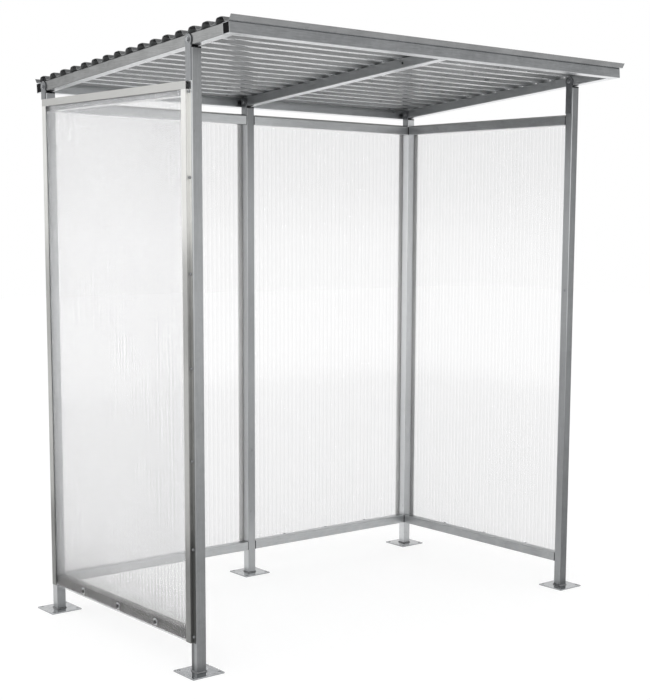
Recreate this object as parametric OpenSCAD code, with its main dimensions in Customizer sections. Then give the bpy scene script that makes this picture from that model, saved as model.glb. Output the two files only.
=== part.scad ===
// Open-fronted shelter: a square-tube frame on bolt-down feet, with a single-pitch
// corrugated roof, ribbed clear plastic walls on three sides and folded steel trims.
// Millimetres. X runs along the open front, Y from front to back and Z up. The
// origin is on the ground, at the centre of the whole part.

/* [Frame] */
// Width over the outer faces of the end posts
frame_w = 1775; // [1400:5:2600]
// Depth over the outer faces of the front and back posts
frame_d = 1000; // [700:5:1500]
// Side of the square tube that posts, rails, rafters and purlins are cut from
tube = 35; // [30:1:45]
// Wall thickness of the tube
tube_wall = 2; // [1.5:0.5:3]
// Outer corner radius of the tube
tube_r = 2.5; // [1:0.5:3.5]
// Distance of the back middle post to the right of the centre of the frame
middle_off = 5; // [-100:1:100]

/* [Feet] */
// Side of a foot plate
plate = 120; // [90:1:180]
// Thickness of a foot plate
plate_t = 5; // [3:0.5:10]
// Distance between the bolt holes of a foot plate, both ways
hole_pitch = 96; // [64:1:140]
// Diameter of a bolt hole
hole_d = 11; // [7:0.5:18]

/* [Rails] */
// Height of the underside of the bottom rails
bottom_rail_z = 102; // [40:1:400]
// Drop from the tops of the back posts to the tops of the top rails
top_rail_drop = 30; // [26:1:200]

/* [Roof frame] */
// Height of the underside of the rafters at the front of the frame
roof_h = 2002; // [1800:1:2400]
// Fall of the roof from front to back, in degrees
slope = 4.57; // [1:0.01:10]
// Reach of the rafters in front of the posts, along the slope
rafter_front = 170.5; // [60:0.5:400]
// Reach of the rafters behind the frame, along the slope
rafter_back = 3; // [0:0.5:100]
// Diameter of the holes in the roof frame
vent_d = 10; // [5:0.5:16]
// Distance from a rafter's left face to the vent hole beside it
vent_gap = 12; // [8:1:100]

/* [Roof sheet] */
// Distance between corrugations
pitch = 76.2; // [66:0.1:120]
// Height of the corrugations, without the thickness
sheet_h = 17; // [10:0.5:30]
// Thickness of the roof sheet
sheet_t = 1; // [0.6:0.1:2]
// Width of the flat valley of a corrugation
valley_w = 21; // [10:0.5:28]
// Run of a corrugation's flank
flank_w = 12; // [9:0.5:16]
// Rise of the crest's middle above its shoulders
arch = 1.5; // [0:0.5:5]
// Reach of the first valley in front of the front purlin
sheet_front = 8.5; // [0:0.5:60]
// Overhang of the sheet past each end of the frame
sheet_side = 6; // [0:1:80]

/* [Walls and trims] */
// Thickness of the wall panels
panel_t = 10; // [6:0.5:16]
// Thickness of the folded trims
trim_t = 1.5; // [1:0.1:2.5]
// Distance from a post's outer corner to the edge of its trim
trim_inset = 8; // [2:0.5:12]
// Width of the trim's flange on the post
trim_flange = 13; // [8:0.5:16]
// Width of the trim's cover leg over the panel
trim_cover = 27; // [15:0.5:50]
// Height of the trim that caps the top of a wall
cap_trim_h = 25; // [16:1:60]
// Width of the middle trim's base on the post
hat_base = 11; // [7:0.5:20]

/* [Straps and plastic caps] */
// Width of a strap that ties a post to its rafter
strap_w = 30; // [16:1:35]
// Thickness of a strap
strap_t = 4; // [2:0.5:8]
// Diameter of the strap's eye
eye_d = 37; // [30:1:50]
// Thickness of a post cap's head
cap_t = 5; // [2:0.5:8]
// Thickness of the flange of the plugs between rails and posts
flange_t = 2.5; // [1:0.5:5]
// Depth of a cap or plug inside the tube
plug_depth = 14; // [6:1:40]

/* [Hidden] */
$fn = 48;
fine = 0.2;
mid_x = frame_w / 2 - tube / 2 + middle_off;
far_x = frame_w - tube;
far_y = frame_d - tube;
fall = tan(slope);
u_back = frame_d / cos(slope) + rafter_back;
front_top = roof_h - tube * fall - fine - cap_t;
back_top = roof_h - frame_d * fall - fine - cap_t;
top_rail_z = back_top - top_rail_drop - tube;
rail_top = top_rail_z + tube;
wall_top = rail_top + 7;
panel_top = wall_top - trim_t;
trim_top = wall_top - cap_trim_h;
web_out = trim_inset + trim_flange;
web_in = web_out + trim_t;
valley_0 = -rafter_front - tube - sheet_front;
shoulder = sheet_h - arch;
crest_w = pitch - valley_w - 2 * flank_w;
// The last valley starts over the back purlin, whatever the frame's depth
humps = ceil((u_back - tube / 4 - valley_0) / pitch);

// The rising flank after a valley's end, and the falling one before a valley's start
function rise(u) = [
    [u, 0], [u + flank_w * 0.2, shoulder * 0.1], [u + flank_w * 0.8, shoulder * 0.85],
    [u + flank_w, shoulder]
];
function drop(u) = [
    [u - flank_w, shoulder], [u - flank_w * 0.8, shoulder * 0.85],
    [u - flank_w * 0.2, shoulder * 0.1], [u, 0]
];
// One corrugation of the sheet's underside, from the end of valley k to the next start
function wave(k) = let (s = valley_0 + pitch * k, c = s + valley_w + flank_w) concat(
    rise(s + valley_w),
    [[c + crest_w * 0.25, shoulder + arch * 0.75],
     [c + crest_w * 0.5, sheet_h],
     [c + crest_w * 0.75, shoulder + arch * 0.75]],
    drop(s + pitch)
);
line = concat(
    drop(valley_0),
    [for (k = [0 : humps - 1]) each wave(k)],
    rise(valley_0 + pitch * humps + valley_w)
);
// Unit normal of the segment from point i to point i + 1
function seg_n(i) = let (d = line[i + 1] - line[i]) [-d[1], d[0]] / norm(d);
// Mitred offset of point i by the thickness of the sheet
function lift(i) = let (
    last = len(line) - 1,
    a = i == 0 ? seg_n(0) : seg_n(i - 1),
    b = i == last ? seg_n(last - 1) : seg_n(i),
    m = (a + b) / norm(a + b)
) line[i] + m * sheet_t / (m * a);
upper = [for (i = [len(line) - 1 : -1 : 0]) lift(i)];
sheet_outline = concat(line, upper);
// Y of a point on the sheet, and from those and the plates the middle of the part
function y_of(p) = p[0] * cos(slope) + (p[1] + tube) * sin(slope);
y_low = min(min([for (p = sheet_outline) y_of(p)]), (tube - plate) / 2);
y_high = max(max([for (p = sheet_outline) y_of(p)]), far_y + (tube + plate) / 2);
mid_y = (y_low + y_high) / 2;

// Square with exact round corners, from the origin into +X and +Y
module round_square(s, r) {
    translate([r, 0]) square([s - 2 * r, s]);
    translate([0, r]) square([s, s - 2 * r]);
    for (x = [r, s - r], y = [r, s - r]) translate([x, y]) circle(r = r);
}

// Section of the square tube
module tube_section() {
    difference() {
        round_square(tube, tube_r);
        translate([tube_wall, tube_wall]) square(tube - 2 * tube_wall);
    }
}

// Tubes along each axis, from the origin into the positive octant
module tube_x(l) { rotate([90, 0, 90]) linear_extrude(l) tube_section(); }
module tube_y(l) { translate([0, l, 0]) rotate([90, 0, 0]) linear_extrude(l) tube_section(); }
module tube_z(l) { linear_extrude(l) tube_section(); }

// From the frame's front left corner to the origin at the centre of the part
module placed() { translate([-frame_w / 2, -mid_y, 0]) children(); }

// From the roof's own plane, Y along the slope, to the frame
module on_roof() { translate([0, 0, roof_h]) rotate([-slope, 0, 0]) children(); }

// One post standing on its plate
module post(x, y, top) {
    color("Silver") placed() translate([x, y, plate_t]) tube_z(top - plate_t);
}

// One foot plate under the post at x, y
module foot(x, y) {
    edge = (plate - hole_pitch) / 2;
    color("Gainsboro") placed() translate([x + (tube - plate) / 2, y + (tube - plate) / 2, 0])
        difference() {
            cube([plate, plate, plate_t]);
            for (hx = [edge, plate - edge], hy = [edge, plate - edge])
                translate([hx, hy, -1]) cylinder(d = hole_d, h = plate_t + 2);
        }
}

// One plastic cap on the post at x, y
module cap(x, y, top) {
    inner = tube - 2 * tube_wall - 2 * fine;
    translate([x, y, top]) {
        linear_extrude(cap_t) round_square(tube, tube_r);
        translate([tube_wall + fine, tube_wall + fine, -plug_depth])
            cube([inner, inner, plug_depth + cap_t / 2]);
    }
}

module post_caps() {
    color("DimGray") placed() {
        cap(0, 0, front_top);
        cap(far_x, 0, front_top);
        cap(0, far_y, back_top);
        cap(mid_x, far_y, back_top);
        cap(far_x, far_y, back_top);
    }
}

module front_purlin() {
    color("Silver") placed() on_roof()
        translate([0, -rafter_front - tube, 0]) tube_x(frame_w);
}

module back_purlin() {
    color("Silver") placed() on_roof() translate([0, u_back, 0]) difference() {
        tube_x(frame_w);
        for (x = [mid_x - vent_gap, far_x - vent_gap]) translate([x, -1, tube / 2])
            rotate([-90, 0, 0]) cylinder(d = vent_d, h = tube_wall + 2);
    }
}

// Plug of a rail's end, from the post's face along X: flange first, then the insert
module plug() {
    inner = tube - 2 * tube_wall - 2 * fine;
    rotate([90, 0, 90]) linear_extrude(flange_t) round_square(tube, tube_r);
    translate([flange_t / 2, tube_wall + fine, tube_wall + fine])
        cube([plug_depth + flange_t / 2, inner, inner]);
}

// Plugs at both ends of a back rail, and of a side rail
module plugs_x(x0, x1, z) {
    translate([x0, far_y, z]) plug();
    translate([x1, far_y, z]) mirror([1, 0, 0]) plug();
}
module plugs_y(x, z) {
    translate([x + tube, tube, z]) rotate([0, 0, 90]) plug();
    translate([x, far_y, z]) rotate([0, 0, -90]) plug();
}

// The plastic plugs in the ends of the purlins and of the rails
module tube_plugs() {
    inner = tube - 2 * tube_wall;
    color("DimGray") placed() {
        on_roof() for (x = [fine, frame_w - plug_depth - fine], y = [-rafter_front - tube, u_back])
            translate([x, y + tube_wall, tube_wall]) cube([plug_depth, inner, inner]);
        for (z = [bottom_rail_z, top_rail_z]) {
            plugs_y(0, z);
            plugs_y(far_x, z);
            plugs_x(tube, mid_x, z);
            plugs_x(mid_x + tube, far_x, z);
        }
    }
}

// One rafter; the hole is for the eye bolt of a strap that this bay doesn't have
module rafter(x, hole = false) {
    color("Silver") placed() on_roof() difference() {
        translate([x, -rafter_front, 0]) tube_y(rafter_front + u_back);
        if (hole) translate([x - 1, tube / 2, tube / 2])
            rotate([0, 90, 0]) cylinder(d = vent_d, h = tube_wall + 2);
    }
}

module roof_sheet() {
    color("LightSteelBlue") placed() on_roof()
        translate([-sheet_side, 0, tube]) rotate([90, 0, 90])
            linear_extrude(frame_w + 2 * sheet_side) polygon(sheet_outline);
}

module side_rail(x, z) {
    color("Silver") placed() translate([x, tube + flange_t, z])
        tube_y(frame_d - 2 * tube - 2 * flange_t);
}

module back_rail(x0, x1, z) {
    color("Silver") placed() translate([x0 + flange_t, far_y, z])
        tube_x(x1 - x0 - 2 * flange_t);
}

module side_panel(x) {
    color("LightCyan", 0.6) placed() translate([x, web_in, bottom_rail_z])
        cube([panel_t, frame_d - 2 * web_in, panel_top - bottom_rail_z]);
}

module back_panel(x0, x1) {
    color("LightCyan", 0.6) placed() translate([x0, frame_d, bottom_rail_z])
        cube([x1 - x0, panel_t, panel_top - bottom_rail_z]);
}

// Corner trim: X along the wall from the post's corner, Y out of the wall
module corner_trim() {
    out = panel_t + trim_t;
    translate([0, 0, bottom_rail_z]) linear_extrude(trim_top - bottom_rail_z) polygon([
        [trim_inset, 0], [web_in, 0], [web_in, panel_t],
        [web_out + trim_cover, panel_t], [web_out + trim_cover, out],
        [web_out, out], [web_out, trim_t], [trim_inset, trim_t]
    ]);
}

// Middle trim: the same round the gap between two panels
module middle_trim() {
    out = panel_t + trim_t;
    b = hat_base / 2;
    c = b - trim_t;
    e = b + trim_cover;
    translate([0, 0, bottom_rail_z]) linear_extrude(trim_top - bottom_rail_z) polygon([
        [-b, 0], [b, 0], [b, panel_t], [e, panel_t], [e, out], [c, out],
        [c, trim_t], [-c, trim_t], [-c, out], [-e, out], [-e, panel_t], [-b, panel_t]
    ]);
}

// Trim over the top of a wall, with lips down to the rails between the posts
module top_trim(l, lips) {
    out = panel_t + trim_t;
    translate([web_out, 0, wall_top - trim_t]) cube([l - 2 * web_out, out, trim_t]);
    translate([web_out, panel_t, trim_top]) cube([l - 2 * web_out, trim_t, cap_trim_h]);
    for (s = lips) {
        translate([s[0], -trim_t, rail_top]) cube([s[1] - s[0], trim_t, wall_top - rail_top]);
        translate([s[0], -trim_t, wall_top - trim_t]) cube([s[1] - s[0], 2 * trim_t, trim_t]);
    }
}

// From a wall's own frame, X along it and Y out of it, to the left, right or back
module left_wall() { placed() rotate([0, 0, 90]) children(); }
module right_wall() {
    placed() translate([frame_w, 0, 0]) mirror([1, 0, 0]) rotate([0, 0, 90]) children();
}
module back_wall() { placed() translate([0, frame_d, 0]) children(); }

// Turns a wall's frame end for end, for a wall of length l
module flipped(l) { translate([l, 0, 0]) mirror([1, 0, 0]) children(); }

// Strap on the left face of the post at x, y, from z up to the rafter's eye bolt
module strap(x, y, z) {
    yc = y + tube / 2;
    eye_z = roof_h - yc * fall + tube / 2 / cos(slope);
    color("DarkGray") placed() translate([x - strap_t, yc, 0]) {
        translate([0, -strap_w / 2, z]) cube([strap_t, strap_w, eye_z - z]);
        translate([0, 0, eye_z]) rotate([0, 90, 0]) cylinder(d = eye_d, h = strap_t);
    }
}

post(0, 0, front_top);  // front_left_post
post(far_x, 0, front_top);  // front_right_post
post(0, far_y, back_top);  // back_left_post
post(mid_x, far_y, back_top);  // back_middle_post
post(far_x, far_y, back_top);  // back_right_post
foot(0, 0);  // front_left_foot
foot(far_x, 0);  // front_right_foot
foot(0, far_y);  // back_left_foot
foot(mid_x, far_y);  // back_middle_foot
foot(far_x, far_y);  // back_right_foot
post_caps();
front_purlin();
back_purlin();
tube_plugs();
rafter(0);  // left_rafter
rafter(mid_x, hole = true);  // middle_rafter
rafter(far_x);  // right_rafter
roof_sheet();
side_rail(0, bottom_rail_z);  // left_bottom_rail
side_rail(0, top_rail_z);  // left_top_rail
side_rail(far_x, bottom_rail_z);  // right_bottom_rail
side_rail(far_x, top_rail_z);  // right_top_rail
back_rail(tube, mid_x, bottom_rail_z);  // back_left_bottom_rail
back_rail(tube, mid_x, top_rail_z);  // back_left_top_rail
back_rail(mid_x + tube, far_x, bottom_rail_z);  // back_right_bottom_rail
back_rail(mid_x + tube, far_x, top_rail_z);  // back_right_top_rail
side_panel(-panel_t);  // left_panel
side_panel(frame_w);  // right_panel
back_panel(web_in, mid_x + tube / 2 - hat_base / 2);  // back_left_panel
back_panel(mid_x + tube / 2 + hat_base / 2, frame_w - web_in);  // back_right_panel
color("LightGray") left_wall() corner_trim();  // left_front_trim
color("LightGray") left_wall() flipped(frame_d) corner_trim();  // left_back_trim
color("LightGray") right_wall() corner_trim();  // right_front_trim
color("LightGray") right_wall() flipped(frame_d) corner_trim();  // right_back_trim
color("LightGray") back_wall() corner_trim();  // back_left_trim
color("LightGray") back_wall() translate([mid_x + tube / 2, 0, 0]) middle_trim();  // back_middle_trim
color("LightGray") back_wall() flipped(frame_w) corner_trim();  // back_right_trim
color("LightGray") left_wall() top_trim(frame_d, [[tube, far_y]]);  // left_top_trim
color("LightGray") right_wall() top_trim(frame_d, [[tube, far_y]]);  // right_top_trim
color("LightGray") back_wall() top_trim(frame_w, [[tube, mid_x], [mid_x + tube, far_x]]);  // back_top_trim
strap(0, 0, wall_top + 1);  // front_left_strap
strap(far_x, 0, wall_top + 1);  // front_right_strap
strap(0, far_y, wall_top + 1);  // back_left_strap
strap(mid_x, far_y, rail_top + 2);  // back_middle_strap
strap(far_x, far_y, rail_top + 2);  // back_right_strap
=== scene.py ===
"""Dresses a packed smoking shelter: square galvanised tube, corrugated roof, ribbed clear walls.

The frame module loads the shelter's solids in metres. X runs along the open front, Y from
front to back and Z up. Every piece built here takes its place from those solids.
"""

import logging  # noqa: E402
import math  # noqa: E402
from collections import defaultdict  # noqa: E402
from dataclasses import dataclass, replace  # noqa: E402
from enum import Enum  # noqa: E402
from functools import cache, reduce  # noqa: E402

import bmesh  # noqa: E402
import bpy  # noqa: E402
from mathutils import Matrix, Vector  # noqa: E402


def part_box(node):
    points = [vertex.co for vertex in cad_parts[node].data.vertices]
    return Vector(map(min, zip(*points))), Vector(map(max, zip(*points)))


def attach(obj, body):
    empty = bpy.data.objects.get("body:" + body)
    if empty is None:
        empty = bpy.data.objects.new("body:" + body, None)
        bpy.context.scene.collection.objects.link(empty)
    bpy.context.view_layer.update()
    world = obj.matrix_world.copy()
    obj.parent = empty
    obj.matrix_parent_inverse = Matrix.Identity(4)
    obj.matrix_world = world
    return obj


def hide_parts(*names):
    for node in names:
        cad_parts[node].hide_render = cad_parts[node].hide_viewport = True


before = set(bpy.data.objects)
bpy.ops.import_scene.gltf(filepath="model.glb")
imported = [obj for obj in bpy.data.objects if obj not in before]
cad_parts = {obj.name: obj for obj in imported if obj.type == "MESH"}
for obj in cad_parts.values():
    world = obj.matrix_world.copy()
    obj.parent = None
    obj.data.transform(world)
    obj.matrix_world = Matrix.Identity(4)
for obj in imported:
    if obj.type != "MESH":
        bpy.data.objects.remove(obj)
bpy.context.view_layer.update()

LOG = logging.getLogger("shelter")
MM = 0.001
BODY = "root"

Triple = tuple[float, float, float]
Pair = tuple[float, float]
Stops = tuple[Pair, ...]
Ring = list[bmesh.types.BMVert]
Socket = bpy.types.NodeSocket
Owner = bpy.types.Material | bpy.types.World

EVEN_SCALE = (1.0, 1.0, 1.0)
# Directions of faces that get painted light and shade; LEFTWARD is also the left wall's way out.
UNDERSIDE = (0.0, 0.0, -1.0)
LEFTWARD = (-1.0, 0.0, 0.0)
INWARD_BACK = (0.0, -1.0, 0.0)
FRONT_CORNER = (-0.7071, -0.7071, 0.0)
FRONT_FLANK = (0.0, -0.8, 0.6)
ROOF_SLOPE = math.radians(4.57)
ROOF_UP = (0.0, math.sin(ROOF_SLOPE), math.cos(ROOF_SLOPE))

WHITE = (1.0, 1.0, 1.0, 1.0)

# Cosines of the angle off a direction at which a face begins to count, and counts in full.
SQUARE_ON = (0.8, 0.95)
# Angle above which an edge of a solid stays crisp.
CREASE = math.radians(38.0)
# Height, in metres, at the top end of every curve over the height.
CURVE_TOP = 2.1


class Run(Enum):
    """The way that a length of steel runs, which is the way its draw marks run."""

    ALONG_X = (0.04, 1.0, 1.0)
    ALONG_Y = (1.0, 0.04, 1.0)
    ALONG_Z = (1.0, 1.0, 0.04)
    NO_GRAIN = (1.0, 1.0, 1.0)


class Lead(Enum):
    """What the tone follows before fine marks are added; all but EVEN paint light and shade."""

    EVEN = "the same all over"
    # Painted light and shade by height: lighter and darker wherever each finish's stops say.
    PAINTED_SHADE_BY_HEIGHT = "duller near the ground, where rain splashes"
    # Painted sheen: the roof's flats that look down are lighter than its flanks.
    PAINTED_FLAT_SHEEN = "brighter on the flats than on the rolled flanks, and dull on top"
    # Painted light: faces that look down are lighter, standing in for the floor that they reflect.
    PAINTED_UNDERSIDE_LIGHT = "bright on the undersides, which rain never reaches"


class Side(Enum):
    """A wall of the shelter, by the direction in which its outer face looks."""

    LEFT = LEFTWARD
    RIGHT = (1.0, 0.0, 0.0)
    BACK = (0.0, 1.0, 0.0)

    @property
    def out(self) -> Vector:
        """Give the direction out of the wall."""
        return Vector(self.value)

    @property
    def run(self) -> int:
        """Give the axis along the wall: 0 for X, 1 for Y."""
        return 0 if self is Side.BACK else 1

    def spot(self, along: float, depth: float, height: float) -> Vector:
        """Find a point of the wall.

        Args:
            along: Where it is along the wall.
            depth: Where it is through the wall.
            height: Where it is above the ground.

        Returns:
            The point.
        """
        point = Vector((0.0, 0.0, height))
        point[self.run], point[1 - self.run] = along, depth
        return point


def standing(spot: Vector, out: Vector) -> Matrix:
    """Place a turned shape at a spot, with its axis along a direction."""
    return Matrix.Translation(spot) @ out.to_track_quat("Z", "Y").to_matrix().to_4x4()


def put(name: str, data: bpy.types.ID) -> bpy.types.Object:
    """Put a mesh, lamp or camera into the scene.

    Args:
        name: The object's name.
        data: The mesh, lamp or camera.

    Returns:
        The object.
    """
    thing = bpy.data.objects.new(name, data)
    bpy.context.scene.collection.objects.link(thing)
    return thing


class NodeGraph:
    """The nodes of a material or a world, and the short calls that wire them."""

    def __init__(self, owner: Owner) -> None:
        """Start with no nodes.

        Args:
            owner: The new material or world.
        """
        self.owner = owner
        owner.use_nodes = True
        self.tree = owner.node_tree
        self.tree.nodes.clear()

    def add(self, kind: str, sockets: dict | None = None, **settings: object) -> bpy.types.Node:
        """Add a node.

        Args:
            kind: The node's type, without its ShaderNode prefix.
            sockets: Values for input sockets, by the socket's name.
            **settings: Values for the node's own properties.

        Returns:
            The new node.
        """
        node = self.tree.nodes.new(f"ShaderNode{kind}")
        for key, value in settings.items():
            setattr(node, key, value)
        for key, value in (sockets or {}).items():
            node.inputs[key].default_value = value
        return node

    def link(self, source: Socket, target: Socket) -> None:
        """Join an output socket to an input socket."""
        self.tree.links.new(source, target)

    def place(self, stretch: Triple = EVEN_SCALE) -> Socket:
        """Give the shelter's own coordinates, in metres, stretched for a grain.

        Args:
            stretch: Scale along each axis.

        Returns:
            The socket that carries the coordinates.
        """
        where = self.add("TexCoord").outputs["Object"]
        if stretch == EVEN_SCALE:
            return where
        mapping = self.add("Mapping", {"Scale": stretch})
        self.link(where, mapping.inputs["Vector"])
        return mapping.outputs["Vector"]

    def noise(
        self, scale: float, detail: float, roughness: float, stretch: Triple = EVEN_SCALE
    ) -> Socket:
        """Add fractal noise.

        Args:
            scale: Number of features in a metre.
            detail: Number of octaves.
            roughness: Share of the fine octaves.
            stretch: Scale along each axis.

        Returns:
            The socket of the noise, from 0 to 1.
        """
        node = self.add("TexNoise", {"Scale": scale, "Detail": detail, "Roughness": roughness})
        self.link(self.place(stretch), node.inputs["Vector"])
        return node.outputs["Fac"]

    def spread(
        self,
        source: Socket,
        low: float = 0.0,
        high: float = 1.0,
        to_low: float = 0.0,
        to_high: float = 1.0,
    ) -> Socket:
        """Stretch a value's range to another.

        Args:
            source: The value.
            low: Value that becomes to_low.
            high: Value that becomes to_high.
            to_low: New low end.
            to_high: New high end.

        Returns:
            Its socket.
        """
        ends = {"From Min": low, "From Max": high, "To Min": to_low, "To Max": to_high}
        node = self.add("MapRange", ends)
        self.link(source, node.inputs["Value"])
        return node.outputs["Result"]

    def sum(self, *parts: tuple[Socket, float]) -> Socket:
        """Add values, each by its weight.

        Args:
            *parts: Pairs of a socket and its weight.

        Returns:
            Its socket.
        """
        total = None
        for source, weight in parts:
            node = self.add("Math", operation="MULTIPLY_ADD")
            self.link(source, node.inputs[0])
            node.inputs[1].default_value = weight
            node.inputs[2].default_value = 0.0
            if total is not None:
                self.link(total, node.inputs[2])
            total = node.outputs[0]
        return total

    def tint(self, factor: Socket, dark: Triple, light: Triple) -> Socket:
        """Blend between two colours by a value.

        Args:
            factor: The value, 0 for dark and 1 for light.
            dark: Linear colour at 0.
            light: Linear colour at 1.

        Returns:
            Its socket.
        """
        node = self.add("ValToRGB")
        ramp = node.color_ramp
        ramp.elements[0].color = (*dark, 1.0)
        ramp.elements[1].color = (*light, 1.0)
        self.link(factor, node.inputs["Fac"])
        return node.outputs["Color"]

    def normal_dot(self) -> bpy.types.Node:
        """Add a dot product with the surface's normal."""
        dot = self.add("VectorMath", operation="DOT_PRODUCT")
        self.link(self.add("NewGeometry").outputs["Normal"], dot.inputs[0])
        return dot

    def worn_and_highlit_edges(self, radius: float) -> Socket:
        """Find the sharp edges of the shape, where zinc is rubbed bright and a highlight is
        painted.

        Args:
            radius: Width of the rubbed band, in metres.

        Returns:
            The socket of a value near 0 on flats and higher on edges.
        """
        bevel = self.add("Bevel", {"Radius": radius}, samples=4)
        dot = self.normal_dot()
        self.link(bevel.outputs["Normal"], dot.inputs[1])
        return self.spread(dot.outputs["Value"], 0.995, 0.8)

    def above_ground(self, stops: Stops) -> Socket:
        """Give a value that follows the height above the ground.

        Args:
            stops: Pairs of a height in metres, up to CURVE_TOP, and the value there.

        Returns:
            Its socket.
        """
        curve = self.add("FloatCurve")
        points = curve.mapping.curves[0].points
        while len(points) < len(stops):
            points.new(0.5, 0.5)
        for point, (height, value) in zip(points, stops):
            point.location = (height / CURVE_TOP, value)
        curve.mapping.update()
        self.link(self.along("Z", 0.0, CURVE_TOP), curve.inputs["Value"])
        return curve.outputs["Value"]

    def coordinate(self, axis: str) -> Socket:
        """Give the shelter's own X, Y or Z, in metres."""
        parts = self.add("SeparateXYZ")
        self.link(self.place(), parts.inputs["Vector"])
        return parts.outputs[axis]

    def along(self, axis: str, low: float, high: float) -> Socket:
        """Give a value that goes from 0 to 1 between two places along an axis."""
        return self.spread(self.coordinate(axis), low, high)

    def both(self, one: Socket, other: Socket) -> Socket:
        """Give a value that is 1 only where two values are both 1."""
        return self.spread(self.sum((one, 1.0), (other, 1.0)), 1.0, 2.0)

    def upright_lines(self, pitch: float) -> Socket:
        """Give soft upright lines that repeat along a wall.

        Args:
            pitch: Distance between lines, in metres.

        Returns:
            The socket of a value from 0 to 1.
        """
        along = self.sum((self.coordinate("X"), 1.0), (self.coordinate("Y"), 1.0))
        wave = self.add("Math", operation="SINE")
        self.link(self.sum((along, 2.0 * math.pi / pitch)), wave.inputs[0])
        return self.spread(wave.outputs[0], -1.0, 1.0)

    def facing(self, way: Triple, low: float, high: float) -> Socket:
        """Give 1 where the surface faces a way and 0 where it turns off it.

        Args:
            way: Unit direction.
            low: Cosine of the angle between them that gives 0.
            high: Cosine of the angle between them that gives 1.

        Returns:
            Its socket.
        """
        dot = self.normal_dot()
        dot.inputs[1].default_value = way
        return self.spread(dot.outputs["Value"], low, high)

    def surface(self, values: dict[str, float], links: dict[str, Socket]) -> Owner:
        """Finish with a principled shader.

        Args:
            values: Constant inputs, by their names.
            links: Inputs that vary over the surface, by their names.

        Returns:
            The finished material.
        """
        shader = self.add("BsdfPrincipled", values)
        for name, source in links.items():
            self.link(source, shader.inputs[name])
        return self.finish(shader)

    def relief(self, height: Socket, strength: float, depth: float) -> Socket:
        """Give normals for a fine relief, from its height, strength and depth in metres."""
        bump = self.add("Bump", {"Strength": strength, "Distance": depth})
        self.link(height, bump.inputs["Height"])
        return bump.outputs["Normal"]

    def finish(self, shader: bpy.types.Node, output: str = "OutputMaterial") -> Owner:
        """Send a shader to the output node, and give the finished material or world."""
        self.link(shader.outputs[0], self.add(output).inputs["Surface"])
        return self.owner


@dataclass(frozen=True)
class PaintedPatch:
    """Painted light or shade: a part of a piece that is brighter or duller than the rest.

    It takes in the faces that look one way, what lies beyond a line across an axis and a
    stretch of the height, where each is given. A pair says where it begins and is full: the
    turn is in cosines of the angle off the faces' way, and the rest is in metres.
    """

    share: float
    faces: Triple | None = None
    turn: Pair = SQUARE_ON
    across: str = ""
    line: Pair = (0.0, 0.0)
    heights: Pair | None = None

    def mask(self, graph: NodeGraph) -> Socket:
        """Build the nodes that find the patch.

        Args:
            graph: The finish's nodes.

        Returns:
            Its socket, which gives 1 on the patch.
        """
        masks = []
        if self.faces:
            masks.append(graph.facing(self.faces, *self.turn))
        if self.across:
            masks.append(graph.along(self.across, *self.line))
        if self.heights:
            masks.append(graph.along("Z", *self.heights))
        return reduce(graph.both, masks)


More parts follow.
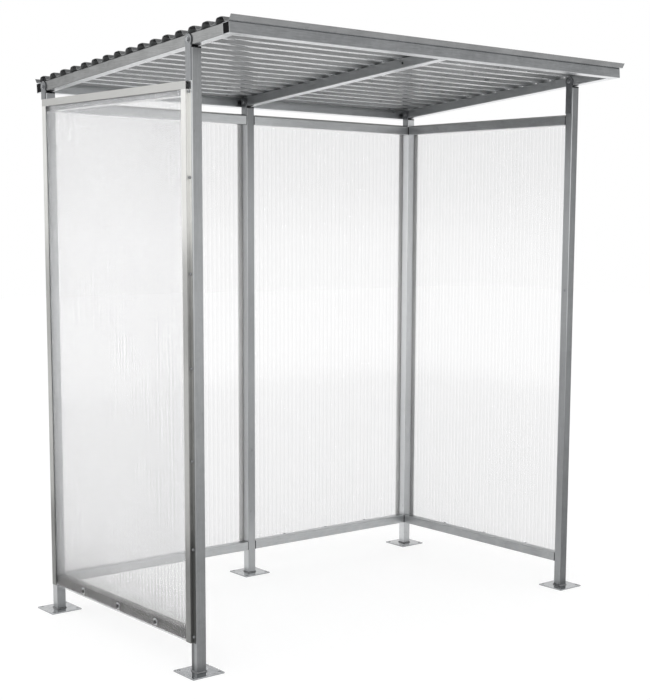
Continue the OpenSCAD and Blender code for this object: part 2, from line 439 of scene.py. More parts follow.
@dataclass(frozen=True)
class Zinc:
    """Galvanised steel: crystals, draw marks, cloudy patches, bright edges and painted light.

    The tone goes from dark at 0 to light at 1. Each share is the weight in it of the lead,
    the crystals, the draw marks, the clouds or the bright edges. The edges are rubbed bright
    and also carry a painted highlight; every lead but EVEN and every patch paint light and
    shade.

    Attributes:
        run: The way that the draw marks run.
        lead: What the tone follows most, which paints light and shade unless it is EVEN.
        stops: Heights and tones for the painted light and shade of a lead by height.
        rough: Roughness where it shines most and least.
        patches: Painted light and shade on parts of the piece.
    """

    name: str
    slot: str
    dark: Triple
    light: Triple
    run: Run = Run.NO_GRAIN
    lead: Lead = Lead.EVEN
    lead_share: float = 0.5
    stops: Stops = ((0.0, 1.0), (CURVE_TOP, 1.0))
    metallic: float = 1.0
    rough: Pair = (0.27, 0.34)
    crystal: float = 14 * MM
    crystal_share: float = 0.12
    streak_share: float = 0.22
    cloud_share: float = 0.16
    edge_share: float = 0.5
    patches: tuple[PaintedPatch, ...] = ()
    bump: float = 0.03

    def material(self) -> bpy.types.Material:
        """Build the finish's nodes.

        Returns:
            The material.
        """
        graph = NodeGraph(bpy.data.materials.new(self.name))
        cells = graph.add("TexVoronoi", {"Scale": 1 / self.crystal, "Randomness": 1.0})
        graph.link(graph.place(), cells.inputs["Vector"])
        grey = graph.add("RGBToBW")
        graph.link(cells.outputs["Color"], grey.inputs["Color"])
        crystals = grey.outputs["Val"]
        marks = graph.noise(420.0, 4.0, 0.6, self.run.value)
        clouds = graph.noise(7.0, 4.0, 0.55)
        shares = [
            (crystals, self.crystal_share),
            (graph.spread(marks, 0.3, 0.7), self.streak_share),
            (graph.spread(clouds, 0.3, 0.7), self.cloud_share),
        ]
        # The bright edges are partly rubbed wear and partly a painted highlight.
        if self.edge_share > 0.0:
            shares.append((graph.worn_and_highlit_edges(1.2 * MM), self.edge_share))
        shine = graph.sum((crystals, 0.4), (marks, 0.3), (clouds, 0.3))
        links = {}
        # Painted light and shade from the lead: by height, on downward faces, on the roof's flats.
        if self.lead is Lead.PAINTED_SHADE_BY_HEIGHT:
            shares.append((graph.above_ground(self.stops), self.lead_share))
        elif self.lead is Lead.PAINTED_UNDERSIDE_LIGHT:
            shares.append((graph.facing(UNDERSIDE, 0.6, 0.9), self.lead_share))
        elif self.lead is Lead.PAINTED_FLAT_SHEEN:
            flats = graph.facing(tuple(-c for c in ROOF_UP), 0.86, 0.97)
            upper = graph.facing(ROOF_UP, -1.0, 1.0)
            shares.append((graph.spread(flats, to_low=0.2), self.lead_share))
            shine = graph.sum((flats, -1.2), (shine, 1.0), (upper, 0.8))
            links["Metallic"] = graph.spread(flats, to_low=0.6, to_high=self.metallic)
        # Each patch paints light or shade on one part.
        shares += [(patch.mask(graph), patch.share) for patch in self.patches]
        height = graph.sum((crystals, 0.3), (marks, 0.7))
        links["Base Color"] = graph.tint(graph.sum(*shares), self.dark, self.light)
        links["Roughness"] = graph.spread(shine, 0.25, 0.75, *self.rough)
        links["Normal"] = graph.relief(height, self.bump, 0.4 * MM)
        return graph.surface({"Metallic": self.metallic}, links)


@dataclass(frozen=True)
class ClearRib:
    """Ribbed clear wall sheet: a faintly milky plastic that dims what is behind it.

    Attributes:
        stops: Heights, and how clear and pale the sheet is there, which paints shade by height.
        alpha: How solid it looks where it is dullest and where it is clearest.
        drawn_alpha: How much more solid the drawn lines are.
        drawn_share: How much paler the drawn lines are.
        line: Distance between the drawn lines.
        glassy: How much light goes through its solid part.
    """

    name: str
    stops: Stops
    dark: Triple
    light: Triple = (0.985, 0.985, 0.996)
    alpha: Pair = (0.11, 0.08)
    drawn_alpha: float = 0.1
    drawn_share: float = 0.04
    line: float = 21.0 * MM
    slot: str = "panel_plastic"
    glassy: float = 0.8
    rough: float = 0.55

    def material(self) -> bpy.types.Material:
        """Build the finish's nodes.

        Returns:
            The material.
        """
        graph = NodeGraph(bpy.data.materials.new(self.name))
        haze = graph.spread(graph.noise(3.0, 3.0, 0.5), 0.3, 0.7)
        streaks = graph.spread(graph.noise(26.0, 2.0, 0.6, (1.0, 1.0, 0.0)), 0.35, 0.65)
        drawn = graph.sum((graph.upright_lines(self.line), 0.85), (streaks, 0.15))
        # Painted shade by height: where the stops are low the sheet is darker and more solid.
        clear = graph.above_ground(self.stops)
        tone = graph.sum((clear, 0.95), (haze, 0.05), (drawn, self.drawn_share))
        solid = graph.spread(clear, 0.0, 1.0, *self.alpha)
        cover = graph.sum((solid, 1.0), (drawn, self.drawn_alpha))
        colour = graph.tint(tone, self.dark, self.light)
        plastic = {"IOR": 1.3, "Metallic": 0.0}
        plastic |= {"Transmission Weight": self.glassy, "Roughness": self.rough}
        return graph.surface(plastic, {"Base Color": colour, "Alpha": cover})


@dataclass(frozen=True)
class Moulded:
    """Moulded plastic: a near even colour with a fine spark-eroded grain."""

    name: str
    slot: str
    dark: Triple
    light: Triple
    rough: Pair = (0.42, 0.62)
    grain: float = 1400.0

    def material(self) -> bpy.types.Material:
        """Build the finish's nodes.

        Returns:
            The material.
        """
        graph = NodeGraph(bpy.data.materials.new(self.name))
        grain = graph.noise(self.grain, 2.0, 0.5)
        scuffs = graph.noise(45.0, 5.0, 0.65)
        tone = graph.sum((grain, 0.3), (graph.spread(scuffs, 0.4, 0.75), 0.7))
        plastic = {"Metallic": 0.0, "IOR": 1.45, "Specular IOR Level": 0.04}
        links = {
            "Base Color": graph.tint(tone, self.dark, self.light),
            "Roughness": graph.spread(scuffs, 0.3, 0.7, *self.rough),
            "Normal": graph.relief(grain, 0.25, 0.15 * MM),
        }
        return graph.surface(plastic, links)


def painted_corner_highlight(share: float) -> PaintedPatch:
    """Paint a highlight down a post's front left corner, stronger towards the roof."""
    return PaintedPatch(share, FRONT_CORNER, turn=(0.75, 0.92), heights=(0.5, 1.5))


# Painted light and shade on the posts: a lighter or darker copy per post, tones by height, lighter
# left faces.
FRONT_POST_ZINC = Zinc(
    "front_post_zinc", "tube_steel", (0.10, 0.104, 0.107), (0.62, 0.635, 0.645), Run.ALONG_Z,
    Lead.PAINTED_SHADE_BY_HEIGHT, 0.1, ((0.0, 0.1), (0.25, 0.3), (0.9, 0.95), (1.3, 1.0), (1.6, 0.75), (2.1, 0.35)),
    crystal_share=0.038, streak_share=0.075, cloud_share=0.05, edge_share=0.16,
    patches=(PaintedPatch(0.27, LEFTWARD), painted_corner_highlight(0.8)),
)
CORNER_POST_ZINC = replace(
    FRONT_POST_ZINC, name="corner_post_zinc", dark=(0.07, 0.073, 0.075), lead_share=0.29,
    stops=((0.0, 0.547), (0.25, 0.64), (0.9, 0.947), (1.3, 0.97), (1.6, 0.853), (2.1, 0.665)),
    patches=(
        # Painted light high on the left face, painted shade low on it, and a painted corner
        # highlight.
        PaintedPatch(0.65, LEFTWARD, heights=(0.8, 1.75)),
        PaintedPatch(-0.12, LEFTWARD, heights=(0.75, 0.35)), painted_corner_highlight(0.3),
    ),
)
BACK_POST_ZINC = replace(
    FRONT_POST_ZINC, name="back_post_zinc", dark=(0.2, 0.207, 0.212), light=(0.75, 0.763, 0.772),
    lead_share=0.22, patches=(PaintedPatch(0.35, LEFTWARD), painted_corner_highlight(0.45)),
)
# Painted light low down on the middle post, fading to painted shade under the roof.
MIDDLE_POST_ZINC = replace(
    FRONT_POST_ZINC, name="middle_post_zinc", light=(0.5, 0.511, 0.519), lead_share=0.6,
    stops=(
        (0.0, 1.0), (0.05, 1.0), (0.38, 0.6), (0.72, 0.56), (1.13, 0.34), (1.47, 0.4), (1.76, 0.3),
        (2.1, 0.25),
    ),
    patches=(PaintedPatch(0.5, LEFTWARD), painted_corner_highlight(0.8)),
)
FAR_POST_ZINC = replace(
    BACK_POST_ZINC, name="far_post_zinc", lead_share=0.45,
    stops=((0.0, 0.85), (0.9, 0.95), (1.3, 1.0), (2.1, 0.8)),
)
# Painted light: faces that look down are lighter, as if lit by the floor below.
RAFTER_ZINC = Zinc(
    "rafter_zinc", "tube_steel", (0.145, 0.148, 0.146), (0.82, 0.83, 0.84), Run.ALONG_Y,
    Lead.PAINTED_UNDERSIDE_LIGHT, 0.8, streak_share=0.1, cloud_share=0.08, crystal_share=0.05, edge_share=0.25,
)
# Painted light: the inner rafters are a lighter copy of the rafter zinc.
INNER_RAFTER_ZINC = replace(
    RAFTER_ZINC, name="inner_rafter_zinc", dark=(0.33, 0.34, 0.345), light=(0.86, 0.87, 0.88),
)
PURLIN_ZINC = replace(
    RAFTER_ZINC, name="purlin_zinc", dark=(0.15, 0.156, 0.161), light=(0.80, 0.81, 0.82),
    run=Run.ALONG_X,
)
# Painted light: the back purlin is a lighter copy of the purlin zinc.
BACK_PURLIN_ZINC = replace(
    PURLIN_ZINC, name="back_purlin_zinc", dark=(0.46, 0.475, 0.485), light=(0.86, 0.87, 0.88),
)
SIDE_RAIL_ZINC = replace(
    RAFTER_ZINC, name="side_rail_zinc", dark=(0.26, 0.267, 0.272), light=(0.84, 0.85, 0.86),
    lead_share=0.75, streak_share=0.16, cloud_share=0.1, crystal_share=0.06,
)
# Painted shade: the left wall's bottom rail is a darker copy of the rail zinc.
LOW_RAIL_ZINC = replace(
    SIDE_RAIL_ZINC, name="low_rail_zinc", dark=(0.115, 0.112, 0.106), light=(0.4, 0.395, 0.385),
)
# Painted light: the back rails are a lighter copy of the rail zinc.
BACK_RAIL_ZINC = replace(
    SIDE_RAIL_ZINC, name="back_rail_zinc", dark=(0.36, 0.37, 0.376), run=Run.ALONG_X,
)
PLATE_ZINC = Zinc(
    "plate_zinc", "plate_steel", (0.2, 0.21, 0.22), (0.6, 0.61, 0.62), crystal=9 * MM,
    crystal_share=0.25, streak_share=0.35, cloud_share=0.3, edge_share=0.2, rough=(0.07, 0.15),
)
# Painted light and shade by height: the trims are darker low down and lighter high up.
TRIM_ZINC = Zinc(
    "trim_zinc", "trim_steel", (0.11, 0.112, 0.109), (0.86, 0.86, 0.835), Run.ALONG_Z, Lead.PAINTED_SHADE_BY_HEIGHT,
    0.85,
    (
        (0.0, 0.06), (0.34, 0.02), (0.5, 0.3), (0.9, 0.44), (1.12, 0.28), (1.3, 0.38), (1.5, 0.75),
        (1.9, 0.8), (2.1, 0.8),
    ),
    metallic=0.45, rough=(0.3, 0.38), crystal_share=0.04, streak_share=0.1, cloud_share=0.08,
    edge_share=0.0, bump=0.0,
)
# Painted light: the back trims are a lighter copy, and their faces that look forward are lighter.
BACK_TRIM_ZINC = replace(
    TRIM_ZINC, name="back_trim_zinc", dark=(0.5, 0.505, 0.5), light=(0.98, 0.98, 0.965),
    stops=((0.0, 0.2), (0.2, 0.3), (0.45, 0.4), (1.0, 0.6), (2.1, 0.68)), metallic=0.2,
    patches=(PaintedPatch(0.6, INWARD_BACK),),
)
# Painted shade: the top trims are a darker copy of the trim zinc.
TOP_TRIM_ZINC = replace(
    TRIM_ZINC, name="top_trim_zinc", dark=(0.17, 0.172, 0.168), light=(0.5, 0.5, 0.485),
    stops=((0.0, 0.9), (2.1, 0.9)), run=Run.ALONG_Y,
)
STRAP_ZINC = Zinc(
    "strap_zinc", "strap_steel", (0.13, 0.135, 0.14), (0.25, 0.257, 0.264), Run.ALONG_Z,
    crystal_share=0.25, streak_share=0.45, cloud_share=0.3,
)
# Painted sheen on the flats that look down, and painted shade on the flanks that face the front.
ROOF_ZINC = Zinc(
    "roof_zinc", "roof_steel", (0.08, 0.082, 0.084), (0.72, 0.73, 0.737), Run.ALONG_X, Lead.PAINTED_FLAT_SHEEN,
    0.75, metallic=0.97, rough=(0.16, 0.42), crystal=22 * MM, crystal_share=0.06, streak_share=0.1,
    cloud_share=0.12, edge_share=0.0, patches=(PaintedPatch(-0.25, FRONT_FLANK),), bump=0.0,
)
BOLT_ZINC = Zinc(
    "bolt_zinc", "strap_steel", (0.22, 0.226, 0.232), (0.44, 0.45, 0.46), rough=(0.22, 0.36),
    crystal=3 * MM,
)
WASHER_ZINC = replace(
    BOLT_ZINC, name="washer_zinc", dark=(0.38, 0.386, 0.392), light=(0.6, 0.606, 0.612),
)
DARK_HEAD_ZINC = replace(
    BOLT_ZINC, name="dark_head_zinc", dark=(0.03, 0.03, 0.031), light=(0.09, 0.091, 0.093),
)
WELD_STEEL = Zinc(
    "weld_steel", "tube_steel", (0.09, 0.092, 0.095), (0.34, 0.346, 0.352), crystal=4 * MM,
)
BLACK_PLASTIC = Moulded(
    "black_plastic_moulded", "black_plastic", (0.004, 0.004, 0.0045), (0.014, 0.014, 0.015),
)
# Painted shade: the back and right sheets are darker and more solid low down and high up.
CLEAR_SHEET = ClearRib(
    "ribbed_clear_sheet",
    (
        (0.0, 0.0), (0.5, 0.1), (0.75, 0.3), (0.95, 0.95), (1.25, 0.95), (1.5, 0.5), (1.75, 0.1),
        (2.1, 0.0),
    ),
    (0.7, 0.7, 0.715), alpha=(0.138, 0.108), drawn_alpha=0.045, drawn_share=0.02,
)
# Painted shade: the left sheet is darker and more solid towards the ground.
LOW_SHADE_SHEET = ClearRib(
    "low_shade_clear_sheet",
    (
        (0.0, 0.1), (0.12, 0.1), (0.2, 0.32), (0.33, 0.72), (0.45, 0.88), (0.6, 0.96), (0.9, 1.0),
        (2.1, 1.0),
    ),
    (0.34, 0.34, 0.338), alpha=(0.23, 0.09), drawn_alpha=0.08,
)
PLAIN_SHEET = replace(CLEAR_SHEET, name="plain_clear_sheet", alpha=(0.13, 0.1), drawn_alpha=0.0)
PLAIN_LOW_SHADE_SHEET = replace(
    LOW_SHADE_SHEET, name="plain_low_shade_sheet", alpha=(0.24, 0.1), drawn_alpha=0.0,
)
CLEAR_RIB = replace(CLEAR_SHEET, name="clear_rib", alpha=(0.03, 0.02), drawn_alpha=0.0)

Finish = Zinc | ClearRib | Moulded
POST_FINISHES = {
    "front_left": CORNER_POST_ZINC,
    "front_right": FRONT_POST_ZINC,
    "back_left": BACK_POST_ZINC,
    "back_middle": MIDDLE_POST_ZINC,
    "back_right": FAR_POST_ZINC,
}
RAFTERS = ("left_rafter", "middle_rafter", "right_rafter")
WALLS = {"left": Side.LEFT, "right": Side.RIGHT, "back_left": Side.BACK, "back_right": Side.BACK}


@cache
def mix(finish: Finish) -> bpy.types.Material:
    """Give the material of a finish, which is made the first time that it is asked for."""
    return finish.material()


def coat(piece: bpy.types.Object, finish: Finish) -> None:
    """Give a piece a finish on all its material slots.

    Args:
        piece: The object.
        finish: The finish.
    """
    if not piece.data.materials:
        piece.data.materials.append(mix(finish))
    for index in range(len(piece.data.materials)):
        piece.data.materials[index] = mix(finish)


class Shape:
    """Collects vertices and faces, and becomes one piece of the shelter."""

    def __init__(self) -> None:
        """Start with an empty mesh."""
        self.mesh = bmesh.new()

    def ring(self, points: list[Vector]) -> Ring:
        """Add a row of vertices."""
        return [self.mesh.verts.new(p) for p in points]

    def skin(self, rings: list[Ring]) -> None:
        """Join each closed ring to the next with quads.

        Args:
            rings: Rings of vertices, all of one length.
        """
        for low, high in zip(rings, rings[1:]):
            for i in range(len(low)):
                j = (i + 1) % len(low)
                self.mesh.faces.new((low[i], low[j], high[j], high[i]))

    def turned(
        self, profile: list[Pair], place: Matrix, sides: int = 24, corners: int = 0
    ) -> None:
        """Add a solid turned round Z from a profile that runs from axis to axis.

        Args:
            profile: Pairs of radius and height, the first and last off the axis.
            place: Where the solid goes, with Z along its axis.
            sides: Number of points round the axis.
            corners: Points that stand out as a polygon's corners, or 0 for round.
        """
        rings = []
        for radius, height in profile:
            points = []
            for i in range(sides):
                angle = 2 * math.pi * i / sides
                reach = radius
                if corners:
                    part = (angle % (2 * math.pi / corners)) - math.pi / corners
                    reach = radius * math.cos(math.pi / corners) / math.cos(part)
                point = Vector((reach * math.cos(angle), reach * math.sin(angle), height))
                points.append(place @ point)
            rings.append(self.ring(points))
        self.skin(rings)
        self.mesh.faces.new(rings[0][::-1])
        self.mesh.faces.new(rings[-1])


class SubAssembly:
    """A group of the shelter's parts that are made and finished together."""

    def dress(self, node: str, finish: Finish) -> None:
        """Finish a solid of the model, with its round edges shaded smooth.

        Args:
            node: The solid's name.
            finish: The finish.
        """
        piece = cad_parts[node]
        self.round_off(piece.data)
        coat(piece, finish)
        LOG.info("dressed %s with %s", node, finish.name)

    @staticmethod
    def round_off(mesh: bpy.types.Mesh) -> None:
        """Shade faces that meet at a slight angle as one surface.

        Args:
            mesh: The mesh, whose faces may have vertices of their own.
        """
        limit = math.cos(CREASE)
        around: dict[tuple, list[tuple[Vector, float]]] = defaultdict(list)
        keys = [tuple(round(c, 6) for c in v.co) for v in mesh.vertices]
        for face in mesh.polygons:
            for index in face.vertices:
                around[keys[index]].append((face.normal.copy(), face.area))
        normals = []
        for face in mesh.polygons:
            for index in face.vertices:
                total = Vector((0.0, 0.0, 0.0))
                for normal, area in around[keys[index]]:
                    if normal.dot(face.normal) > limit:
                        total += normal * area
                normals.append(total.normalized() if total.length else face.normal)
        mesh.polygons.foreach_set("use_smooth", [True] * len(mesh.polygons))
        mesh.normals_split_custom_set(normals)

    def add(
        self, shape: Shape, name: str, finish: Finish, sharp: float = 35.0
    ) -> bpy.types.Object:
        """Turn a shape into a finished piece that rides on the shelter.

        Args:
            shape: The shape.
            name: The piece's name.
            finish: The finish.
            sharp: Angle in degrees above which an edge stays crisp.

        Returns:
            The piece.
        """
        bmesh.ops.recalc_face_normals(shape.mesh, faces=shape.mesh.faces)
        data = bpy.data.meshes.new(name)
        shape.mesh.to_mesh(data)
        shape.mesh.free()
        data.polygons.foreach_set("use_smooth", [True] * len(data.polygons))
        data.set_sharp_from_angle(angle=math.radians(sharp))
        piece = put(name, data)
        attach(piece, BODY)
        coat(piece, finish)
        LOG.info("built %s, %d faces", name, len(data.polygons))
        return piece


class TubeFrame(SubAssembly):
    """The posts, rails, rafters and purlins with their plastic caps and plugs."""

    def build(self) -> None:
        """Dress every tube, cap and plug."""
        for post, finish in POST_FINISHES.items():
            # The front left post gets painted light on part of its left face.
            if finish is CORNER_POST_ZINC:
                finish = self.painted_light_front(post, finish)
            self.dress(f"{post}_post", finish)
        self.dress("left_rafter", RAFTER_ZINC)
        for name in RAFTERS[1:]:
            self.dress(name, INNER_RAFTER_ZINC)
        self.dress("front_purlin", PURLIN_ZINC)
        self.dress("back_purlin", BACK_PURLIN_ZINC)
        for wall, side in WALLS.items():
            rail = BACK_RAIL_ZINC if side is Side.BACK else SIDE_RAIL_ZINC
            self.dress(f"{wall}_bottom_rail", LOW_RAIL_ZINC if side is Side.LEFT else rail)
            self.dress(f"{wall}_top_rail", rail)
        for name in ("post_caps", "tube_plugs"):
            self.dress(name, BLACK_PLASTIC)

    @staticmethod
    def painted_light_front(post: str, finish: Zinc) -> Zinc:
        """Paint light on the lower part of the front half of a post's left face.

        Args:
            post: The post's name, without its ending.
            finish: The post's finish.

        Returns:
            The finish with that patch.
        """
        low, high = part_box(f"{post}_post")
        middle = (low.y + high.y) / 2
        line = (middle + MM, middle - MM)
        front = PaintedPatch(0.3, LEFTWARD, across="Y", line=line, heights=(1.5, 1.1))
        return replace(finish, patches=(*finish.patches, front))


@dataclass
class Feet(SubAssembly):
    """The bolt-down plates, each with a weld bead round its post.

    Attributes:
        steps: Number of rings in a ripple, and in a turn round a corner.
        sunk: How far the bead reaches into the post, in millimetres.
        waist: Height and reach of the bead's hollow face, as shares of the leg.
    """

    leg: float = 4.5 * MM
    ripple: float = 3.6 * MM
    steps: int = 6
    corner: float = 2.5 * MM
    sunk: float = -0.4
    waist: Pair = (0.42, 0.72)

    def build(self) -> None:
        """Dress the plates and lay a bead round every post."""
        for post in POST_FINISHES:
            self.dress(f"{post}_foot", PLATE_ZINC)
            self.weld(post)

    def weld(self, post: str) -> None:
        """Lay the rippled fillet bead between a post and its plate.

        Args:
            post: The post's name, without its ending.
        """
        low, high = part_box(f"{post}_post")
        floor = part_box(f"{post}_foot")[1].z
        near, far = self.waist
        shape = Shape()
        rings = []
        for index, (point, out) in enumerate(self.path(low, high)):
            phase = 2 * math.pi * index / self.steps
            leg = self.leg * (1 + 0.09 * math.cos(phase) + 0.05 * math.sin(index * 0.73))
            section = [(self.sunk, 0.0), (leg / MM, 0.0), (far * leg / MM, near * leg / MM)]
            section += [(near * leg / MM, far * leg / MM), (0.0, leg / MM), (self.sunk, leg / MM)]
            base = Vector((point.x, point.y, floor))
            ring = [base + out * (x * MM) + Vector((0, 0, z * MM)) for x, z in section]
            rings.append(shape.ring(ring))
        shape.skin([*rings, rings[0]])
        self.add(shape, f"{post}_foot_weld", WELD_STEEL, 60.0)

    def path(self, low: Vector, high: Vector) -> list[tuple[Vector, Vector]]:
        """Walk round a post's outline.

        Args:
            low: The post's lowest corner.
            high: The post's highest corner.

        Returns:
            Pairs of a point on the outline and its outward direction.
        """
        centre = (low + high) / 2
        half = Vector((high.x - centre.x - self.corner, high.y - centre.y - self.corner))
        turns = ((1, -1, -90.0), (1, 1, 0.0), (-1, 1, 90.0), (-1, -1, 180.0))
        hubs = [Vector((centre.x + x * half.x, centre.y + y * half.y, 0)) for x, y, _ in turns]
        points = []
        for index, (_, _, start) in enumerate(turns):
            for k in range(self.steps + 1):
                angle = math.radians(start + 90 * k / self.steps)
                out = Vector((math.cos(angle), math.sin(angle), 0))
                points.append((hubs[index] + out * self.corner, out))
            begin = hubs[index] + out * self.corner
            end = hubs[(index + 1) % len(hubs)] + out * self.corner
            count = round((end - begin).length / (self.ripple / self.steps))
            points += [(begin.lerp(end, k / count), out) for k in range(1, count)]
        return points


@dataclass
class Roof(SubAssembly):
    """The corrugated sheet and the screws that hold it down on the rafters.

    Attributes:
        pitch: Distance between corrugations.
        every: Screws go in every so many valleys.
        first: From the sheet's front edge to its first valley.
    """

    pitch: float = 76.2 * MM
    valleys: int = 17
    every: int = 4
    washer_radius: float = 8.0 * MM
    head_radius: float = 4.6 * MM
    first: float = 2.0 * MM
    thickness: float = 1.1 * MM

    def build(self) -> None:
        """Dress the sheet and screw it down."""
        self.dress("roof_sheet", ROOF_ZINC)
        shape = Shape()
        for rafter in RAFTERS:
            for valley in range(0, self.valleys, self.every):
                self.screw(shape, rafter, valley)
        self.add(shape, "roof_screws", BOLT_ZINC)

    def screw(self, shape: Shape, rafter: str, valley: int) -> None:
        """Add one hexagonal roof screw on its domed washer.

        Args:
            shape: The shape to add to.
            rafter: The rafter under the screw.
            valley: The valley's number from the front.
        """
        low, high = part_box(rafter)
        tube = high.x - low.x
        turn = Matrix.Rotation(-ROOF_SLOPE, 4, "X")
        start = Vector(((low.x + high.x) / 2, low.y, high.z))
        along = turn @ Vector((0, 1, 0))
        up = turn @ Vector((0, 0, 1))
        ahead = self.first - tube + self.pitch * valley
        place = Matrix.Translation(start + along * ahead + up * self.thickness) @ turn
        wide, head = self.washer_radius, self.head_radius
        dome = [(wide, 0), (wide, 1.2 * MM), (wide * 0.9, 1.9 * MM), (5.2 * MM, 2.6 * MM)]
        shape.turned(dome, place, 28)
        hexagon = [(head, 2.4 * MM), (head, 6.6 * MM), (head * 0.86, 7.3 * MM)]
        shape.turned(hexagon, place, 24, 6)


@dataclass
class Walls(SubAssembly):
    """The twin-wall sheets that close three sides: two skins with ribs between, and play round."""

    rib_pitch: float = 10.5 * MM
    skin: float = 0.7 * MM
    rib: float = 0.5 * MM
    play: float = 0.2 * MM

    def build(self) -> None:
        """Build each sheet in place of its solid."""
        for wall, side in WALLS.items():
            node = f"{wall}_panel"
            low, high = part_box(node)
            play = Vector((self.play, self.play, self.play))
            middle = (low + high) / 2
            shape = self.extrude(side, low + play, high - play)
            # The left sheet gets painted shade towards the ground.
            low_shade = side is Side.LEFT
            lined = LOW_SHADE_SHEET if low_shade else CLEAR_SHEET
            plain = PLAIN_LOW_SHADE_SHEET if low_shade else PLAIN_SHEET
            piece = self.add(shape, f"{node}_ribbed", lined)
            for finish in (CLEAR_RIB, plain):
                piece.data.materials.append(mix(finish))
            for face in piece.data.polygons:
                beyond = (face.center - middle).dot(side.out)
                if abs(beyond) < self.skin:
                    face.material_index = 1
                elif beyond < 0.0:
                    face.material_index = 2
            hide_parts(node)

    def extrude(self, side: Side, low: Vector, high: Vector) -> Shape:
        """Extrude a twin-wall section upward: two skins joined by upright ribs.

        Args:
            side: The wall that the sheet is on.
            low: The sheet's lowest corner.
            high: The sheet's highest corner.

        Returns:
            The sheet's shape.
        """
        run, through = side.run, 1 - side.run
        length = high[run] - low[run]
        count = round((length - self.rib) / self.rib_pitch)
        step = (length - self.rib) / count
        cuts = []
        for k in range(count + 1):
            cuts += [low[run] + k * step, low[run] + k * step + self.rib]
        depths = [low[through], low[through] + self.skin, high[through] - self.skin, high[through]]
        shape = Shape()
        grid = {}
        for level, z in enumerate((low.z, high.z)):
            for i, along in enumerate(cuts):
                for j, depth in enumerate(depths):
                    grid[level, i, j] = shape.mesh.verts.new(side.spot(along, depth, z))

        def quad(*keys: tuple[int, int, int]) -> None:
            """Add a face through grid points."""
            shape.mesh.faces.new([grid[key] for key in keys])

        columns = len(cuts) - 1
        solid = {(i, j) for i in range(columns) for j in range(3) if j != 1 or i % 2 == 0}
        for i, j in solid:
            for level in (0, 1):
                quad((level, i, j), (level, i + 1, j), (level, i + 1, j + 1), (level, i, j + 1))
            for other, a, b in (
                ((i - 1, j), (i, j), (i, j + 1)),
                ((i + 1, j), (i + 1, j), (i + 1, j + 1)),
                ((i, j - 1), (i, j), (i + 1, j)),
                ((i, j + 1), (i, j + 1), (i + 1, j + 1)),
            ):
                if other not in solid:
                    quad((0, *a), (0, *b), (1, *b), (1, *a))
        return shape


@dataclass
class Trims(SubAssembly):
    """The folded steel trims round the walls and the screws through their flanges."""

    corner_trims: tuple[tuple[str, Side], ...] = (
        ("left_front_trim", Side.LEFT),
        ("left_back_trim", Side.LEFT),
        ("right_front_trim", Side.RIGHT),
        ("right_back_trim", Side.RIGHT),
        ("back_left_trim", Side.BACK),
        ("back_middle_trim", Side.BACK),
        ("back_right_trim", Side.BACK),
    )
    flange_centre: float = 6.5 * MM
    thickness: float = 1.5 * MM
    screw: float = 5.4 * MM
    small_screw: float = 3.7 * MM
    heights: tuple[float, ...] = (0.124, 0.414, 0.702, 1.0, 1.299, 1.599, 1.862)

    def build(self) -> None:
        """Dress the trims and screw the upright ones to the posts."""
        for wall in ("left", "right", "back"):
            self.dress(f"{wall}_top_trim", TOP_TRIM_ZINC)
        # The left trims get painted shade low down and painted light high up, beyond their fold.
        left_finish = self.folded(TRIM_ZINC)
        for name, side in self.corner_trims:
            self.dress(name, left_finish if side is Side.LEFT else BACK_TRIM_ZINC)
            self.screw_down(name, side)

    def folded(self, finish: Zinc) -> Zinc:
        """Paint shade on the part of the left trims beyond their fold low down, and light on it
        high up.

        Args:
            finish: The trims' finish.

        Returns:
            The finish with those patches.
        """
        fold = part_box("left_front_trim")[0].x + self.thickness + MM
        line = (fold - MM, fold + MM)
        low = PaintedPatch(-0.25, across="X", line=line, heights=(1.2, 0.8))
        high = PaintedPatch(0.25, across="X", line=line, heights=(1.2, 1.6))
        return replace(finish, patches=(low, high))

    def screw_down(self, name: str, side: Side) -> None:
        """Add a trim's row of screws.

        Args:
            name: The trim.
            side: The wall that it is on.
        """
        low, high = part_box(name)
        run, through = side.run, 1 - side.run
        narrow = name == "back_middle_trim"
        if narrow:
            along = (low[run] + high[run]) / 2
        elif "front" in name or name == "back_left_trim":
            along = low[run] + self.flange_centre
        else:
            along = high[run] - self.flange_centre
        depth = (low if sum(side.out) > 0 else high)[through]
        wide = self.small_screw if narrow else self.screw
        head = wide * 0.84
        washer = [(wide, 0), (wide, 0.7 * MM), (wide * 0.82, 1.2 * MM)]
        hexagon = [(head, 1.1 * MM), (head, 4.3 * MM), (head * 0.84, 5.0 * MM)]
        shape = Shape()
        for height in self.heights:
            spot = side.spot(along, depth, height) + side.out * self.thickness
            shape.turned(washer, standing(spot, side.out))
            shape.turned(hexagon, standing(spot, side.out), corners=6)
        self.add(shape, f"{name}_screws", BOLT_ZINC)


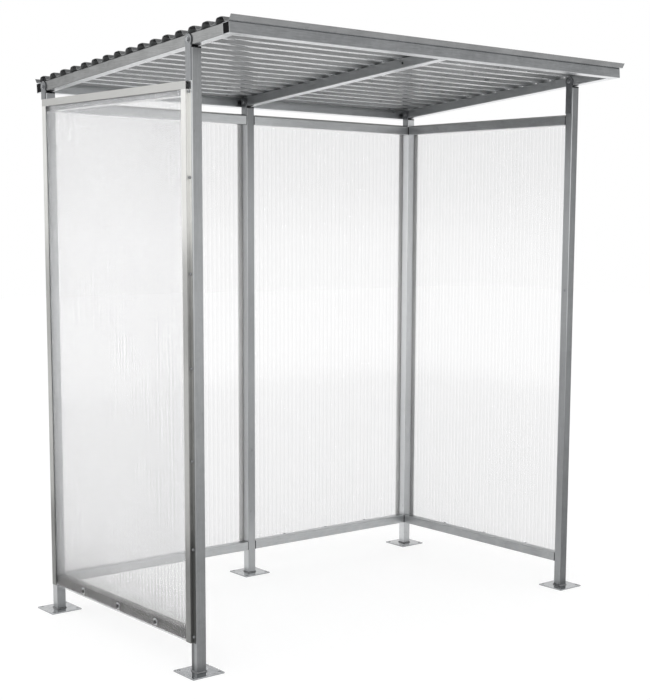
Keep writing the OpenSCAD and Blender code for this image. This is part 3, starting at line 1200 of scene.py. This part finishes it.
@dataclass
class Fixings(SubAssembly):
    """The straps over the posts, their eye bolts and the bolts through the bottom rails.

    Attributes:
        head_foot: Height at which a head stands in its washer.
        shares: Places of a rail's bolts, as shares of its length.
    """

    rail_washer: float = 12.0 * MM
    eye_washer: float = 9.5 * MM
    head_radius: float = 7.0 * MM
    head_foot: float = 1.5 * MM
    shares: tuple[float, ...] = (0.22, 0.49, 0.76)
    above_middle: float = 5.0 * MM

    def build(self) -> None:
        """Dress the straps and add every bolt."""
        for post in POST_FINISHES:
            self.dress(f"{post}_strap", STRAP_ZINC)
            self.eye_bolt(post)
        for wall, side in WALLS.items():
            self.rail_bolts(wall, side)

    def bolt(self, washers: Shape, heads: Shape, place: Matrix, wide: float, high: float) -> None:
        """Add a flat washer, and a hexagonal head that stands on it.

        Args:
            washers: The shape that gets the washer.
            heads: The shape that gets the head.
            place: Where the washer stands on the face.
            wide: Radius of the washer.
            high: Height of the head.
        """
        washers.turned([(wide, 0), (wide, 1.2 * MM), (wide - 0.4 * MM, 1.6 * MM)], place, 32)
        top = self.head_foot + high
        head = [(self.head_radius, self.head_foot), (self.head_radius, top - 0.8 * MM)]
        heads.turned([*head, (self.head_radius * 0.85, top)], place, corners=6)

    def eye_bolt(self, post: str) -> None:
        """Add the bolt through a strap's eye.

        Args:
            post: The post's name, without its ending.
        """
        low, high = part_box(f"{post}_strap")
        radius = (high.y - low.y) / 2
        spot = Vector((low.x, (low.y + high.y) / 2, high.z - radius))
        shape = Shape()
        self.bolt(shape, shape, standing(spot, Side.LEFT.out), self.eye_washer, 4.0 * MM)
        self.add(shape, f"{post}_eye_bolt", BOLT_ZINC)

    def rail_bolts(self, wall: str, side: Side) -> None:
        """Add the bolts that hold a wall sheet to its bottom rail.

        Args:
            wall: The start of the sheet's and the rail's names.
            side: The side that it is on.
        """
        rail = f"{wall}_bottom_rail"
        low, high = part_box(f"{wall}_panel")
        rail_low, rail_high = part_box(rail)
        run, through = side.run, 1 - side.run
        depth = (high if sum(side.out) > 0 else low)[through]
        height = (rail_low.z + rail_high.z) / 2 + self.above_middle
        washers, heads = Shape(), Shape()
        for share in self.shares:
            along = rail_low[run] + (rail_high[run] - rail_low[run]) * share
            place = standing(side.spot(along, depth, height), side.out)
            self.bolt(washers, heads, place, self.rail_washer, 4.4 * MM)
        self.add(washers, f"{rail}_washers", WASHER_ZINC)
        self.add(heads, f"{rail}_bolt_heads", DARK_HEAD_ZINC)


@dataclass
class Studio:
    """A white room: floor, plain light and the camera."""

    sky: float = 0.78
    floor_size: float = 40.0
    sun: float = 0.6
    eye: Triple = (-3.24771, -4.09565, 1.46410)
    yaw: float = 0.7137215
    pitch: float = -0.1280893
    roll: float = 0.0097747
    lens: float = 70.838
    shift: Pair = (-0.09742, 0.07218)

    def build(self) -> None:
        """Make the room."""
        bpy.context.scene.view_settings.view_transform = "Standard"
        bpy.context.scene.cycles.transparent_max_bounces = 32
        self.light_room()
        self.lay_floor()
        self.hang("left_soft_box", (-3.0, 1.9, 2.0), (-0.9, -0.1, 1.4), 1.6, 7.0)
        self.hang("front_soft_box", (3.4, -4.9, 1.2), (0.0, 0.0, 1.1), 2.0, 14.0)
        self.set_sun()
        self.set_camera()

    @staticmethod
    def hang(name: str, place: Triple, aim: Triple, size: float, watts: float) -> None:
        """Hang one square soft box.

        Args:
            name: The lamp's name.
            place: Where it hangs.
            aim: The point that it faces.
            size: Length of its sides.
            watts: Its power.
        """
        data = bpy.data.lights.new(name, "AREA")
        data.shape = "SQUARE"
        data.size = size
        data.energy = watts
        lamp = put(name, data)
        lamp.visible_camera = False
        lamp.location = place
        lamp.rotation_mode = "QUATERNION"
        lamp.rotation_quaternion = (Vector(aim) - Vector(place)).to_track_quat("-Z", "Y")

    @staticmethod
    def shown(graph: NodeGraph, light: bpy.types.Node, seen: bpy.types.Node) -> bpy.types.Node:
        """Light the shelter with one shader, and show another to the eye, metal and glass.

        Args:
            graph: The nodes to add to.
            light: The shader that lights the shelter.
            seen: The shader for camera, glossy and transmission rays.

        Returns:
            The node that mixes them.
        """
        path = graph.add("LightPath")
        total = None
        for name in ("Is Camera Ray", "Is Glossy Ray", "Is Transmission Ray"):
            node = graph.add("Math", operation="MAXIMUM")
            graph.link(path.outputs[name], node.inputs[0])
            node.inputs[1].default_value = 0.0
            if total is not None:
                graph.link(total, node.inputs[1])
            total = node.outputs[0]
        mix = graph.add("MixShader")
        for index, output in enumerate((total, light.outputs[0], seen.outputs[0])):
            graph.link(output, mix.inputs[index])
        return mix

    def light_room(self) -> None:
        """Surround the shelter with even light on a white background."""
        graph = NodeGraph(bpy.data.worlds.new("white_room"))
        light = graph.add("Background", {"Color": WHITE, "Strength": self.sky})
        white = graph.add("Background", {"Color": WHITE, "Strength": 1.0})
        world = graph.finish(self.shown(graph, light, white), "OutputWorld")
        bpy.context.scene.world = world

    def lay_floor(self) -> None:
        """Lay a pale floor that keeps the shelter's shadow."""
        half = self.floor_size / 2
        corners = [(-half, -half, 0), (half, -half, 0), (half, half, 0), (-half, half, 0)]
        data = bpy.data.meshes.new("studio_floor")
        data.from_pydata(corners, [], [(0, 1, 2, 3)])
        put("studio_floor", data)
        graph = NodeGraph(bpy.data.materials.new("pale_floor"))
        matt = graph.add("BsdfDiffuse", {"Color": (0.80, 0.80, 0.80, 1.0)})
        soft = graph.add("BsdfDiffuse", {"Color": (0.36, 0.36, 0.36, 1.0)})
        glow = graph.add("Emission", {"Color": WHITE, "Strength": 0.70})
        both = graph.add("AddShader")
        graph.link(soft.outputs[0], both.inputs[0])
        graph.link(glow.outputs[0], both.inputs[1])
        data.materials.append(graph.finish(self.shown(graph, matt, both)))

    def set_sun(self) -> None:
        """Add one very soft high light, so that the floor is evenly lit."""
        data = bpy.data.lights.new("high_light", "SUN")
        data.energy = self.sun
        data.angle = math.radians(70)
        put("high_light", data).rotation_euler = (math.radians(28), math.radians(-24), 0)

    def set_camera(self) -> None:
        """Stand the camera at the front left, at eye height."""
        data = bpy.data.cameras.new("camera")
        data.lens = self.lens
        data.sensor_width = 36.0
        data.shift_x, data.shift_y = self.shift
        data.clip_start, data.clip_end = 0.05, 200.0
        camera = put("camera", data)
        flat = math.cos(self.pitch)
        east, north = math.sin(self.yaw), math.cos(self.yaw)
        ahead = Vector((east * flat, north * flat, math.sin(self.pitch)))
        level = Vector((north, -east, 0.0))
        upright = level.cross(ahead)
        right = level * math.cos(self.roll) + upright * math.sin(self.roll)
        up = upright * math.cos(self.roll) - level * math.sin(self.roll)
        turn = Matrix((right, up, -ahead)).transposed().to_4x4()
        camera.matrix_world = Matrix.Translation(Vector(self.eye)) @ turn
        bpy.context.scene.camera = camera


def main() -> None:
    """Build the shelter's sub-assemblies and the studio."""
    logging.basicConfig(level=logging.INFO, format="%(name)s: %(message)s")
    Studio().build()
    for kind in (TubeFrame, Feet, Roof, Walls, Trims, Fixings):
        LOG.info("building %s", kind.__name__)
        kind().build()


if __name__ == "__main__":
    main()
